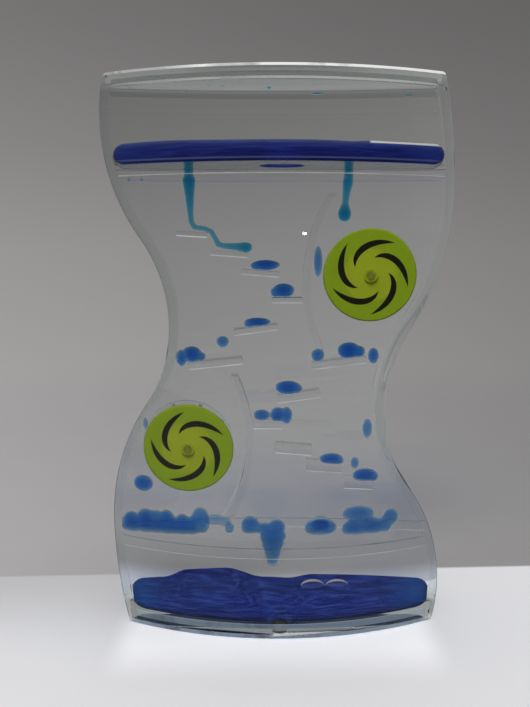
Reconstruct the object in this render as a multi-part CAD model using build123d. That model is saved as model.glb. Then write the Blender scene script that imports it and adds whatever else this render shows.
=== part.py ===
from build123d import *
import os
from math import atan2, degrees, sqrt

# Liquid motion timer: a clear wavy case filled with oil, in which dyed water drips from an upper
# chamber down ledges and over two paddle wheels into a lower one. Case and maze look the same when
# turned half round about the front-to-back axis, so the timer runs either way up.
# Millimetres. The model is built about the middle of the case and moved up to stand on the origin.

# Case
HEIGHT = 140.0                # over both caps
DEPTH = 36.0                  # over the crowns of the front and the back
FACE_RADIUS = 100.0           # bow of the front and the back in plan
WALL = 2.5
EDGE_ROUND = 0.8              # long outer edges of the shells

# Left flank of the case, five tangent arcs; the right flank is the left one turned half round
WAIST_HALF_WIDTH = 26.55
WAIST_RISE = 10.5             # waist above mid-height
WAIST_RADIUS = 35.0
LOW_BULGE_HALF_WIDTH = 43.0
LOW_BULGE_RISE = 28.0         # above the foot of the case
FOOT_RADIUS = 108.0           # from the low bulge down to the foot
HIGH_BULGE_HALF_WIDTH = 43.0
HIGH_BULGE_DROP = 10.0        # below the top of the case
SHOULDER_RADIUS = 34.0        # from the high bulge up to the top

# Caps
CAP_FLANGE = 1.5              # edge that shows outside
CAP_STEP = 1.8                # plug part inside the walls
CAP_FIT = 0.1

# Filling stopper in the bottom cap
PLUG_DIAMETER = 3.6
PLUG_LENGTH = 6.0
PLUG_TAPER = 0.3              # on the diameter, towards the inner end
PLUG_X = 0.6
PLUG_FROM_FRONT = 6.5         # axis behind the front crown
PLUG_BOSS_WALL = 1.3
PLUG_BOSS_RISE = 1.6          # above the floor

# Decks
DECK_THICKNESS = 2.8
END_CHAMBER = 17.8            # clear height between cap and deck
DECK_FIT = 0.1
DRIP_HOLE = 2.5
DRIP_STAIR_X = -20.9          # drip hole above the stair
FUNNEL_X = 1.0
FUNNEL_MOUTH = 9.5
FUNNEL_TIP = 4.0
FUNNEL_RISE = 5.6             # spout beyond the deck
FUNNEL_WALL = 1.1

# Maze: two flat panels with ledges and curved dividers between them
CHANNEL = 11.0                # clear gap between the panels
PANEL_THICKNESS = 1.5
PANEL_FIT = 0.2
LEDGE_THICKNESS = 1.4
LEDGE_ROUND = 0.4
CHUTE_GAP = 3.6               # between the last ledge and the wall
DIVIDER_WHEEL_GAP = 3.1       # between the wheel's rim and the divider beside it
DIVIDER_APEX_RISE = 20.5
DIVIDER_RADIUS = 42.0
DIVIDER_THICKNESS = 1.8
DIVIDER_FOOT_RISE = 3.6       # lower end above mid-height
DIVIDER_DECK_GAP = 4.0

# Ledges of the upper half: left end, right end, height of the top face at each end
STEPS = [
    (-24.2, -16.6, 33.3, 32.8),
    (-16.0, -7.0, 28.6, 27.9),
    (-8.6, 0.6, 23.9, 23.1),
]
LAST_STEP_LENGTH = 7.3        # the last step ends at the divider
LAST_STEP_RISE = 16.8
LAST_STEP_FIT = 0.1
FIRST_CHUTE = (-10.6, 0.0, 8.6, 10.1)
LAST_CHUTE_RIGHT = -8.5
LAST_CHUTE_HEIGHTS = (-0.2, 1.4)

# Wheels
WHEEL_RADIUS = 11.5
WHEEL_RISE = 22.3             # axis above mid-height
WHEEL_WALL_GAP = 3.0          # rim to side wall
WHEEL_DRIP = 5.8              # drip hole beside the axis
WHEEL_END_PLAY = 0.3          # hub end to panel
WHEEL_FACE_GAP = 0.9          # face disc to front panel
FACE_THICKNESS = 1.2
FACE_ROUND = 0.4
NUB_RADIUS = 1.7              # bearing ends of face disc and rotor
FLANGE_THICKNESS = 1.0
DRUM_RADIUS = 6.6
DRUM_WALL = 1.2
HUB_RADIUS = 2.2
PADDLE_COUNT = 10
PADDLE_THICKNESS = 0.9
PADDLE_INSET = 0.4            # paddle tips inside the rim
PIN_DIAMETER = 1.6
PIN_CLEARANCE = 0.06          # radial, so that the wheel turns freely

# Dyed liquid
LIQUID_GAP = 0.4              # film of oil between liquid and walls
LAYER_DEPTH = 4.2
LAYER_ROUND = 1.8
POOL_DEPTH = 3.0
POOL_ROUND = 1.2
STREAM_RADIUS = 0.9
STREAM_BEND = 1.0             # bends of the stream along its middle line
STREAM_LANDING = 0.25         # where it meets the second step, as a share of the step's length
STREAM_STOP = 0.66            # where it ends on that step
HOLE_GAP = 0.05               # liquid to the wall of its drip hole
BULB_RADIUS = 1.8
BULB_LENGTH = 4.4
BULB_DROP = 10.5              # bulb's lower end below the deck
DROP_FOOT = 0.82              # share of a resting drop's radius that touches its ledge
DROP_BELLY = 0.38             # share of its height below its widest line
# Drops that rest on ledges: ledge, place along it from 0 to 1, length, height
RESTING_DROPS = [
    ("upper_step_2", 0.88, 3.4, 2.6),
    ("upper_step_3", 0.60, 7.0, 2.7),
    ("upper_step_4", 0.34, 5.4, 4.0),
    ("upper_chute_1", 0.54, 6.4, 2.3),
    ("upper_chute_2", 0.20, 5.0, 4.4),
    ("lower_chute_2", 0.13, 3.2, 3.2),
    ("lower_chute_2", 0.60, 6.4, 4.2),
    ("lower_chute_2", 0.89, 2.8, 3.4),
    ("lower_chute_1", 0.27, 5.4, 3.5),
    ("lower_step_4", 0.28, 4.2, 2.4),
    ("lower_step_4", 0.78, 3.6, 4.2),
    ("lower_step_2", 0.64, 6.0, 2.6),
    ("lower_step_1", 0.60, 5.6, 3.0),
]
# Drops that sink through the oil: place across, height above mid-height, width, height
FALLING_DROPS = [
    (-13.3, 5.2, 3.0, 3.2),
    (22.4, -17.6, 2.6, 5.0),
    (19.2, -26.9, 2.4, 3.2),
]
WHEEL_SIDE_DROP = 7.0         # height of the drop between wheel and divider
WALL_DROP_WIDTH = 4.6         # drop that has left the lower wheel and sinks beside the wall
WALL_DROP_HEIGHT = 4.4
WALL_DROP_RISE = -33.4
WALL_DROP_GAP = 5.6           # its middle to the wall
# Puddles on the lower deck, lump by lump: distance from the wall beside it, radius, height
LEFT_PUDDLE = [(3.8, 3.2, 5.4), (8.0, 3.2, 6.3), (12.2, 3.2, 5.7), (16.4, 3.2, 6.5), (20.2, 2.8, 5.0)]
RIGHT_PUDDLE = [(7.3, 2.4, 5.2), (10.9, 3.0, 5.8), (14.7, 3.4, 6.8), (18.5, 2.8, 5.4)]
# Puddles over and beside the funnel of the lower deck: distance to the right of its axis, radius, height
FUNNEL_PUDDLE = [(-5.2, 3.4, 4.4), (-1.0, 3.6, 5.0)]
SIDE_PUDDLE = [(10.6, 2.8, 4.4), (14.4, 2.9, 5.2)]
SLUG_HANG = 2.4               # drop that hangs below the funnel's tip

# Heights and depths that follow from the sizes above, from the middle of the case
HALF = HEIGHT / 2
CAP_INNER = HALF - CAP_FLANGE - CAP_STEP
DECK_OUTER = CAP_INNER - END_CHAMBER
DECK_INNER = DECK_OUTER - DECK_THICKNESS
PANEL_INNER = CHANNEL / 2
PANEL_OUTER = PANEL_INNER + PANEL_THICKNESS
LOW_BULGE_Z = LOW_BULGE_RISE - HALF
HIGH_BULGE_Z = HALF - HIGH_BULGE_DROP
PIN_RADIUS = PIN_DIAMETER / 2
REACH = 2 * HEIGHT            # longer than anything it has to cut


def half_turn(shape):
    """The shape turned half round about the front-to-back axis."""
    return Rot(0, 180, 0) * shape


def bulge_radius(half_width, height):
    """Radius of the arc that leaves a bulge upright and meets the waist arc tangentially."""
    reach = WAIST_HALF_WIDTH + WAIST_RADIUS - half_width
    rise = height - WAIST_RISE
    return (reach**2 + rise**2 - WAIST_RADIUS**2) / (2 * (WAIST_RADIUS - reach))


def flank(inset):
    """Left flank moved in by inset: (centre, radius, start, end) of its arcs from foot to top."""
    low_radius = bulge_radius(LOW_BULGE_HALF_WIDTH, LOW_BULGE_Z)
    high_radius = bulge_radius(HIGH_BULGE_HALF_WIDTH, HIGH_BULGE_Z)
    foot = Vector(FOOT_RADIUS - LOW_BULGE_HALF_WIDTH, 0, LOW_BULGE_Z)
    low = Vector(low_radius - LOW_BULGE_HALF_WIDTH, 0, LOW_BULGE_Z)
    waist = Vector(-WAIST_HALF_WIDTH - WAIST_RADIUS, 0, WAIST_RISE)
    high = Vector(high_radius - HIGH_BULGE_HALF_WIDTH, 0, HIGH_BULGE_Z)
    shoulder = Vector(SHOULDER_RADIUS - HIGH_BULGE_HALF_WIDTH, 0, HIGH_BULGE_Z)
    foot_end = foot.X - sqrt((FOOT_RADIUS - inset) ** 2 - (HALF + LOW_BULGE_Z) ** 2)
    top_end = shoulder.X - sqrt((SHOULDER_RADIUS - inset) ** 2 - (HALF - HIGH_BULGE_Z) ** 2)
    points = [
        Vector(foot_end, 0, -HALF),
        Vector(inset - LOW_BULGE_HALF_WIDTH, 0, LOW_BULGE_Z),
        low + (waist - low).normalized() * (low_radius - inset),
        high + (waist - high).normalized() * (high_radius - inset),
        Vector(inset - HIGH_BULGE_HALF_WIDTH, 0, HIGH_BULGE_Z),
        Vector(top_end, 0, HALF),
    ]
    centres = [foot, low, waist, high, shoulder]
    radii = [FOOT_RADIUS - inset, low_radius - inset, WAIST_RADIUS + inset,
             high_radius - inset, SHOULDER_RADIUS - inset]
    return list(zip(centres, radii, points, points[1:]))


def flank_x(height, inset):
    """Place across of the left flank at a height, moved in by inset."""
    for centre, radius, start, end in flank(inset):
        if start.Z <= height <= end.Z:
            half_chord = sqrt(radius**2 - (height - centre.Z) ** 2)
            return centre.X + half_chord if centre.X < start.X else centre.X - half_chord


def case_form(inset):
    """The whole case as one solid, moved in all round by inset but not at its ends."""
    left = []
    for centre, radius, start, end in flank(inset):
        middle = centre + ((start + end) / 2 - centre).normalized() * radius
        left.append(ThreePointArc(start, middle, end))
    right = [half_turn(arc) for arc in left]
    top = Line(left[-1] @ 1, right[0] @ 0)
    foot = Line(right[-1] @ 1, left[0] @ 0)
    upright = extrude(make_face(Wire(left + [top] + right + [foot])), DEPTH, dir=(0, 1, 0), both=True)
    radius = FACE_RADIUS - inset
    centre_offset = FACE_RADIUS - DEPTH / 2
    tip = sqrt(radius**2 - centre_offset**2)
    crown = radius - centre_offset
    front = ThreePointArc((-tip, 0), (0, -crown), (tip, 0))
    back = ThreePointArc((tip, 0), (0, crown), (-tip, 0))
    plan = extrude(make_face(Wire([front, back])), HEIGHT, both=True)
    return upright & plan


def band(solid, low, high):
    """The part of a solid between two heights."""
    return solid & Pos(0, 0, (low + high) / 2) * Box(REACH, REACH, high - low)


def slice_y(solid, near, far):
    """The part of a solid between two depths."""
    return solid & Pos(0, (near + far) / 2, 0) * Box(REACH, far - near, REACH)


def rod(radius, near, far):
    """Cylinder on the front-to-back axis between two depths."""
    return Pos(0, (near + far) / 2, 0) * Rot(90, 0, 0) * Cylinder(radius, far - near)


def post(radius, low, high):
    """Upright cylinder between two heights."""
    return Pos(0, 0, (low + high) / 2) * Cylinder(radius, high - low)


def spout(low_radius, high_radius, low, high):
    """Upright cone between two heights."""
    return Pos(0, 0, (low + high) / 2) * Cone(low_radius, high_radius, high - low)


def lump(radius, height):
    """Drop that rests on the plane below it: round in plan, crowned, flat where it lies."""
    foot = (DROP_FOOT * radius, 0)
    crown = Spline(foot, (radius, DROP_BELLY * height), (0, height), tangents=[(1, 1), (-1, 0)])
    edge = Wire([crown, Line((0, height), (0, 0)), Line((0, 0), foot)])
    return revolve(Plane.XZ * make_face(edge), Axis.Z)


def bead(width, height):
    """Drop that floats free: round in plan, longer or shorter upright."""
    low = (0, -height / 2)
    high = (0, height / 2)
    side = Spline(low, (width / 2, 0), high, tangents=[(1, 0), (-1, 0)])
    edge = Wire([side, Line(high, low)])
    return revolve(Plane.XZ * make_face(edge), Axis.Z)


parts = {}
bore = case_form(WALL)

# Case: two bonded half shells and a cap at each end
block = case_form(0)
long_edges = [e for e in block.edges() if e.geom_type not in (GeomType.LINE, GeomType.CIRCLE)]
block = fillet(long_edges, EDGE_ROUND)
sleeve = band(block, CAP_FLANGE - HALF, HALF - CAP_FLANGE) - bore
parts["front_shell"] = slice_y(sleeve, -DEPTH, 0)
parts["rear_shell"] = slice_y(sleeve, 0, DEPTH)
cap_step = band(case_form(WALL + CAP_FIT), CAP_INNER, HALF - CAP_FLANGE)
cap = band(block, HALF - CAP_FLANGE, HALF) + cap_step
parts["top_cap"] = cap

# Stopper, pressed into a boss on the floor
plug_place = Pos(PLUG_X, PLUG_FROM_FRONT - DEPTH / 2, 0)
plug_tip = PLUG_DIAMETER / 2 - PLUG_TAPER / 2
plug = spout(PLUG_DIAMETER / 2, plug_tip, -HALF, PLUG_LENGTH - HALF)
boss = post(PLUG_DIAMETER / 2 + PLUG_BOSS_WALL, -CAP_INNER, PLUG_BOSS_RISE - CAP_INNER)
floor_boss = plug_place * boss & bore
parts["bottom_cap"] = half_turn(cap) + floor_boss - plug_place * plug
parts["fill_plug"] = plug_place * plug

# Decks with drip holes and funnel
wheel_x = -flank_x(-WHEEL_RISE, WALL) - WHEEL_WALL_GAP - WHEEL_RADIUS
drip_places = [Pos(DRIP_STAIR_X, 0, 0), Pos(wheel_x - WHEEL_DRIP, 0, 0)]
funnel_top = DECK_OUTER + FUNNEL_RISE
funnel_place = Pos(FUNNEL_X, 0, 0)
funnel_hollow = spout(FUNNEL_MOUTH / 2, FUNNEL_TIP / 2, DECK_INNER, funnel_top)
funnel_body = spout(FUNNEL_MOUTH / 2 + FUNNEL_WALL, FUNNEL_TIP / 2 + FUNNEL_WALL, DECK_INNER, funnel_top)
deck = band(case_form(WALL + DECK_FIT), DECK_INNER, DECK_OUTER) + funnel_place * funnel_body
deck -= funnel_place * funnel_hollow
for place in drip_places:
    deck -= place * post(DRIP_HOLE / 2, DECK_INNER, DECK_OUTER)
parts["upper_deck"] = deck
parts["lower_deck"] = half_turn(deck)

# Panels that keep the drops in a narrow channel
wheel_place = Pos(wheel_x, 0, WHEEL_RISE)
pin = wheel_place * rod(PIN_RADIUS, -PANEL_OUTER, PANEL_OUTER)
pins = {"upper_wheel": pin, "lower_wheel": half_turn(pin)}
sheet = band(case_form(WALL + PANEL_FIT), -DECK_INNER, DECK_INNER)
sheet = sheet - pins["upper_wheel"] - pins["lower_wheel"]
parts["front_panel"] = slice_y(sheet, -PANEL_OUTER, -PANEL_INNER)
parts["rear_panel"] = slice_y(sheet, PANEL_INNER, PANEL_OUTER)

# Curved dividers beside the wheel chambers
divider_side = wheel_x - WHEEL_RADIUS - DIVIDER_WHEEL_GAP
divider_middle = Vector(divider_side - DIVIDER_THICKNESS / 2 + DIVIDER_RADIUS, 0, DIVIDER_APEX_RISE)
outer_arc = rod(DIVIDER_RADIUS + DIVIDER_THICKNESS / 2, -PANEL_INNER, PANEL_INNER)
inner_arc = rod(DIVIDER_RADIUS - DIVIDER_THICKNESS / 2, -PANEL_INNER, PANEL_INNER)
divider = Pos(divider_middle) * (outer_arc - inner_arc)
divider = band(divider, DIVIDER_FOOT_RISE, DECK_INNER - DIVIDER_DECK_GAP)
divider = divider.solids().sort_by(Axis.X)[0]
parts["upper_divider"] = divider
parts["lower_divider"] = half_turn(divider)

# Ledges, six in each half
divider_radius = DIVIDER_RADIUS + DIVIDER_THICKNESS / 2
divider_face = divider_middle.X - sqrt(divider_radius**2 - (LAST_STEP_RISE - divider_middle.Z) ** 2)
last_step_end = divider_face - LAST_STEP_FIT
last_step = (last_step_end - LAST_STEP_LENGTH, last_step_end, LAST_STEP_RISE, LAST_STEP_RISE)
last_chute = (flank_x(0, WALL) + CHUTE_GAP, LAST_CHUTE_RIGHT, *LAST_CHUTE_HEIGHTS)
ledge_rows = {f"step_{number}": row for number, row in enumerate(STEPS + [last_step], 1)}
ledge_rows["chute_1"] = FIRST_CHUTE
ledge_rows["chute_2"] = last_chute
ledge_tops = {}
for name, (left, right, left_height, right_height) in ledge_rows.items():
    slope = degrees(atan2(right_height - left_height, right - left))
    length = sqrt((right - left) ** 2 + (right_height - left_height) ** 2)
    middle = Pos((left + right) / 2, 0, (left_height + right_height) / 2) * Rot(0, -slope, 0)
    bar = Box(length, CHANNEL, LEDGE_THICKNESS)
    bar = fillet(bar.edges().filter_by(Axis.Y), LEDGE_ROUND)
    ledge = middle * Pos(0, 0, -LEDGE_THICKNESS / 2) * bar
    parts[f"upper_{name}"] = ledge
    parts[f"lower_{name}"] = half_turn(ledge)
    lower_middle = Rot(0, 180, 0) * middle * Pos(0, 0, -LEDGE_THICKNESS) * Rot(0, 180, 0)
    ledge_tops[f"upper_{name}"] = (middle, length)
    ledge_tops[f"lower_{name}"] = (lower_middle, length)

# Wheels: printed face disc bonded to a clear paddle rotor that turns on a pin
face_front = WHEEL_FACE_GAP - PANEL_INNER
face_back = face_front + FACE_THICKNESS
flange_back = PANEL_INNER - WHEEL_FACE_GAP
flange_front = flange_back - FLANGE_THICKNESS
hub_front = WHEEL_END_PLAY - PANEL_INNER
hub_back = PANEL_INNER - WHEEL_END_PLAY
pin_bore = rod(PIN_RADIUS + PIN_CLEARANCE, -PANEL_OUTER, PANEL_OUTER)
face_disc = rod(WHEEL_RADIUS, face_front, face_back)
face_disc = fillet(face_disc.edges().group_by(Axis.Y)[0], FACE_ROUND)
face_disc += rod(NUB_RADIUS, hub_front, face_front)
face_disc -= pin_bore
drum = rod(DRUM_RADIUS, face_back, flange_front) - rod(DRUM_RADIUS - DRUM_WALL, face_back, flange_front)
rotor = rod(WHEEL_RADIUS, flange_front, flange_back) + rod(HUB_RADIUS, face_back, flange_front)
rotor += rod(NUB_RADIUS, flange_back, hub_back)
paddle_root = DRUM_RADIUS - DRUM_WALL / 2
paddle_tip = WHEEL_RADIUS - PADDLE_INSET
paddle = Pos((paddle_root + paddle_tip) / 2, (face_back + flange_front) / 2, 0)
paddle *= Box(paddle_tip - paddle_root, flange_front - face_back, PADDLE_THICKNESS)
for number in range(PADDLE_COUNT):
    drum += Rot(0, number * 360 / PADDLE_COUNT, 0) * paddle
rotor += drum
rotor -= pin_bore
for wheel, place in (("upper_wheel", wheel_place), ("lower_wheel", Pos(-wheel_x, 0, -WHEEL_RISE))):
    parts[f"{wheel}_face"] = place * face_disc
    parts[f"{wheel}_rotor"] = place * rotor
    parts[f"{wheel}_pin"] = pins[wheel]

# Dyed liquid above the upper deck and on the floor
liquid_bore = case_form(WALL + LIQUID_GAP)
funnel_way = funnel_place * spout(FUNNEL_MOUTH / 2 + FUNNEL_WALL + LIQUID_GAP,
                                  FUNNEL_TIP / 2 + FUNNEL_WALL + LIQUID_GAP, DECK_INNER, funnel_top)
layer = band(liquid_bore, DECK_OUTER, DECK_OUTER + LAYER_DEPTH)
layer = fillet(layer.faces().sort_by(Axis.Z)[-1].edges(), LAYER_ROUND)
parts["top_colour_layer"] = layer - funnel_way
pool = band(liquid_bore, -CAP_INNER, POOL_DEPTH - CAP_INNER)
pool = fillet(pool.faces().sort_by(Axis.Z)[-1].edges(), POOL_ROUND)
boss_way = plug_place * post(PLUG_DIAMETER / 2 + PLUG_BOSS_WALL + LIQUID_GAP, -HALF, HALF)
parts["bottom_colour_pool"] = pool - boss_way

# Streams from the drip holes: one runs down the first steps, one ends in a bulb over the wheel
hole_fill = post(DRIP_HOLE / 2 - HOLE_GAP, DECK_INNER, DECK_OUTER)
first, first_length = ledge_tops["upper_step_1"]
second, second_length = ledge_tops["upper_step_2"]
lift = Pos(0, 0, STREAM_RADIUS + HOLE_GAP)
first_end = (first * Pos(first_length / 2 + STREAM_RADIUS, 0, 0) * lift).position
first_foot = (first * Pos(DRIP_STAIR_X - first.position.X, 0, 0) * lift).position
second_start = (second * Pos((STREAM_LANDING - 0.5) * second_length, 0, 0) * lift).position
second_end = (second * Pos((STREAM_STOP - 0.5) * second_length, 0, 0) * lift).position
middle_line = FilletPolyline(Vector(DRIP_STAIR_X, 0, DECK_INNER), first_foot, first_end, second_start,
                             second_end, radius=STREAM_BEND)
stream = sweep(Plane(middle_line @ 0, z_dir=middle_line % 0) * Circle(STREAM_RADIUS), path=middle_line)
parts["stair_stream"] = stream + drip_places[0] * hole_fill
bulb = Pos(0, 0, DECK_INNER - BULB_DROP + BULB_LENGTH / 2) * bead(2 * BULB_RADIUS, BULB_LENGTH)
thread = post(STREAM_RADIUS, DECK_INNER - BULB_DROP + BULB_LENGTH / 2, DECK_INNER)
parts["wheel_stream"] = drip_places[1] * (hole_fill + thread + bulb)

# Drops on the ledges and drops that sink through the oil
resting = []
for ledge, along, length, height in RESTING_DROPS:
    top, ledge_length = ledge_tops[ledge]
    resting.append(top * Pos((along - 0.5) * ledge_length, 0, 0) * lump(length / 2, height))
parts["resting_drops"] = Compound(children=resting)
falling = [Pos(x, 0, z) * bead(width, height) for x, z, width, height in FALLING_DROPS]
side_drop = bead(DIVIDER_WHEEL_GAP - 2 * LIQUID_GAP, WHEEL_SIDE_DROP)
falling.append(Pos(divider_side + DIVIDER_WHEEL_GAP / 2, 0, WHEEL_RISE) * side_drop)
wall_drop_x = flank_x(WALL_DROP_RISE, WALL) + WALL_DROP_GAP
falling.append(Pos(wall_drop_x, 0, WALL_DROP_RISE) * bead(WALL_DROP_WIDTH, WALL_DROP_HEIGHT))
parts["falling_drops"] = Compound(children=falling)

# Puddles on the lower deck; the last one drains through the funnel
left_wall = flank_x(-DECK_INNER, WALL)
right_wall = -flank_x(DECK_INNER, WALL)
puddles = []
for lumps, start, way in ((LEFT_PUDDLE, left_wall, 1), (RIGHT_PUDDLE, right_wall, -1),
                          (SIDE_PUDDLE, -FUNNEL_X, 1), (FUNNEL_PUDDLE, -FUNNEL_X, 1)):
    puddle = Part()
    for distance, radius, height in lumps:
        puddle += Pos(start + way * distance, 0, -DECK_INNER) * lump(radius, height)
    puddles.append(puddle)
slug = spout(FUNNEL_MOUTH / 2 - LIQUID_GAP, FUNNEL_TIP / 2 - LIQUID_GAP, DECK_INNER, funnel_top)
slug += Pos(0, 0, funnel_top) * bead(FUNNEL_TIP - 2 * LIQUID_GAP, 2 * SLUG_HANG)
puddles[-1] += half_turn(funnel_place * slug)
parts["deck_puddles"] = Compound(children=puddles)

os.makedirs("parts", exist_ok=True)
for name, shape in parts.items():
    export_step(Pos(0, 0, HALF) * shape, f"parts/{name}.step")
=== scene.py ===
from math import atan2, cos, pi, radians, sin, sqrt

import bpy
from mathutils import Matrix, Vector


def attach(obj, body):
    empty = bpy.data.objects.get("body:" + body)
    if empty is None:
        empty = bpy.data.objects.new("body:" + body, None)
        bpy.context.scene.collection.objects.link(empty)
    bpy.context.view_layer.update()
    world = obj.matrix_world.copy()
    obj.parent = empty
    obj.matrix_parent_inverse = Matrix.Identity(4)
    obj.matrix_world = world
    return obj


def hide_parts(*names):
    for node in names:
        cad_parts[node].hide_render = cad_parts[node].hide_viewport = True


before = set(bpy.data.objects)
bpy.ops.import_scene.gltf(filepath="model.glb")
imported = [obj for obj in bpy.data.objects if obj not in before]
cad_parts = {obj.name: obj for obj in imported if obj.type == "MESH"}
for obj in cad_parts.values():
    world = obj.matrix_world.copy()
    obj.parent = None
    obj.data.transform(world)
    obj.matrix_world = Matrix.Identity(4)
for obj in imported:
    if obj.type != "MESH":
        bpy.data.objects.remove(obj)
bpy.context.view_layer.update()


# Viewpoint of the photograph: a hand-held camera close in front of the timer, a little
# above its middle and tipped down at it.
CAMERA_PLACE = (-0.00316, -0.1715, 0.0985)
CAMERA_TILT = 9.0  # degrees below level
CAMERA_LENS, CAMERA_SENSOR = 33.25, 36.0  # millimetres
CAMERA_NEAR = 0.005
LIGHT_BOUNCES, MIRROR_BOUNCES = 64, 32  # light crosses many clear walls one behind another
bpy.ops.object.camera_add(location=CAMERA_PLACE, rotation=(radians(90 - CAMERA_TILT), 0, 0))
camera = bpy.context.active_object
camera.data.lens = CAMERA_LENS
camera.data.sensor_width = CAMERA_SENSOR
camera.data.clip_start = CAMERA_NEAR
bpy.context.scene.camera = camera
bpy.context.scene.view_settings.view_transform = "Standard"
cycles = bpy.context.scene.cycles
cycles.max_bounces = cycles.transmission_bounces = cycles.transparent_max_bounces = LIGHT_BOUNCES
cycles.glossy_bounces = MIRROR_BOUNCES
cycles.caustics_refractive = cycles.caustics_reflective = False  # lamps shine straight through clear pieces


# Floor and background: a matt white table top that ends just behind the timer against a grey
# wall, which is darker towards the top and the right. Two broad soft lamps stand in front, a long
# one hangs above, and a small one glints in the case.
TABLE_WHITE = (0.83, 0.83, 0.845)
TABLE_EDGE = 0.0185  # metres behind the middle of the timer
EDGE_TURN = 0.042  # the table is not quite square to the camera
EDGE_SOFTNESS = 0.0008
CORNER_DEPTH, CORNER_WIDTH = 0.045, 0.05
CORNER_SHADE = 0.30  # soft shadow on the table left of the timer, near the wall
FLOOR_LIGHT = 0.86  # how bright the light makes a white floor
TABLE_GRAIN, GRAIN_SCALE = 0.04, 40.0
GATHER_WIDTH = 0.044  # the clear timer gathers light on the floor behind it and in front of it
GATHER_CORE = 0.8 * GATHER_WIDTH
GATHER_BEHIND, GATHER_BEFORE = (0.034, 0.021), (-0.036, -0.018)
BEHIND_GAIN, BEFORE_GAIN = 1.1, 0.33
FADE_START, FADE_END = 0.13, 0.45  # the floor fades into the wall's colour, metres from the timer
FLOOR_SIZE = 3.0
FLOOR_DROP = 0.00012  # keeps the floor clear of the timer's underside
WALL_STOPS = [(0.05, 0.325), (0.104, 0.335), (0.274, 0.315), (0.5, 0.26), (0.644, 0.20), (0.798, 0.155),
              (0.87, 0.14), (0.95, 0.32), (1.0, 0.34)]
WALL_TINT = (1.025, 1.0, 0.99)
WALL_LOW, WALL_HIGH = -0.5, 0.5  # heights of the view direction between which the wall darkens
WALL_SLANT = 0.46  # how much darker the wall gets to the right
ROOM_DIM = 0.35  # share of the wall's light that the room behind the camera gives
ROOM_START, ROOM_FULL = 0.1, -0.3  # depths of the view direction between which that room begins
STUDIO_LIGHT = (0.34, 0.34, 0.35)


class Wire:
    """A socket of a shader tree; sums, differences and products of wires add Math nodes."""

    def __init__(self, tree, socket=None):
        self.tree = tree
        self.socket = socket

    def node(self, kind, settings=None, inputs=None, output=0):
        """Adds a node of a kind, its settings first, then values or wires for its sockets."""
        made = self.tree.nodes.new("ShaderNode" + kind)
        for name, value in (settings or {}).items():
            if name == "stops":
                band = made.color_ramp.elements
                while len(band) < len(value):
                    band.new(0.5)
                for element, (position, colour) in zip(band, value):
                    element.position = position
                    element.color = (*colour, 1.0)
            else:
                setattr(made, name, value)
        for name, value in (inputs or {}).items():
            if isinstance(value, Wire):
                self.tree.links.new(value.socket, made.inputs[name])
            else:
                made.inputs[name].default_value = value
        return Wire(self.tree, made.outputs[output] if made.outputs else None)

    def beside(self, output):
        """Another output of the same node."""
        return Wire(self.tree, self.socket.node.outputs[output])

    def maths(self, operation, first, second=0.0):
        return self.node("Math", {"operation": operation}, {0: first, 1: second})

    def __add__(self, other):
        return self.maths("ADD", self, other)

    def __sub__(self, other):
        return self.maths("SUBTRACT", self, other)

    def __rsub__(self, other):
        return self.maths("SUBTRACT", other, self)

    def __mul__(self, other):
        return self.maths("MULTIPLY", self, other)

    def __truediv__(self, other):
        return self.maths("DIVIDE", self, other)

    __radd__ = __add__
    __rmul__ = __mul__


def new_finish(name):
    """An empty material and the wire from which its nodes are added."""
    finish = bpy.data.materials.new(name)
    finish.use_nodes = True
    finish.node_tree.nodes.clear()
    return finish, Wire(finish.node_tree)


def on_piece(start):
    """Place on the piece, in metres."""
    return start.node("TexCoord", output="Object")


def parts(vector):
    """The three parts of a vector; the wire itself is X."""
    return vector.node("SeparateXYZ", inputs={0: vector})


def noise(start, place, scale=5.0, detail=3.0, roughness=0.5):
    """Soft random mottling, about 0.5."""
    return start.node("TexNoise", inputs={"Vector": place, "Scale": scale, "Detail": detail, "Roughness": roughness})


def ramp(start, value, low, high, bottom=0.0, top=1.0):
    """From bottom at a low value straight to top at a high one."""
    return start.node("MapRange", inputs={
        "Value": value, "From Min": low, "From Max": high, "To Min": bottom, "To Max": top})


def spread(value, least, span):
    """A least value and more, up to a span above it."""
    return least + span * value


def smooth_step(start, value, low, high, top=1.0):
    """0 at a low value, top at a high one and smooth between; low may be the larger."""
    return start.node("MapRange", {"interpolation_type": "SMOOTHSTEP"}, {
        "Value": value, "From Min": low, "From Max": high, "To Max": top})


def scaled(start, colour, share):
    """A colour or vector times a number."""
    return start.node("VectorMath", {"operation": "SCALE"}, {0: colour, "Scale": share})


def blended(start, share, first, second):
    """Two colours with a share of the second."""
    return start.node("Mix", {"data_type": "RGBA"}, {"Factor": share, "A": first, "B": second}, output=2)


def mixed(start, share, first, second):
    """Two shaders with a share of the second."""
    return start.node("MixShader", inputs={0: share, 1: first, 2: second})


def wall_colour(start, way):
    """Colour of the wall seen in a direction."""
    across = parts(way)
    stops = [(place, tuple(grey * tint for tint in WALL_TINT)) for place, grey in WALL_STOPS]
    wall = start.node("ValToRGB", {"stops": stops}, {0: ramp(start, across.beside("Z"), WALL_LOW, WALL_HIGH)})
    return scaled(start, wall, 1.0 - WALL_SLANT * across)


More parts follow.
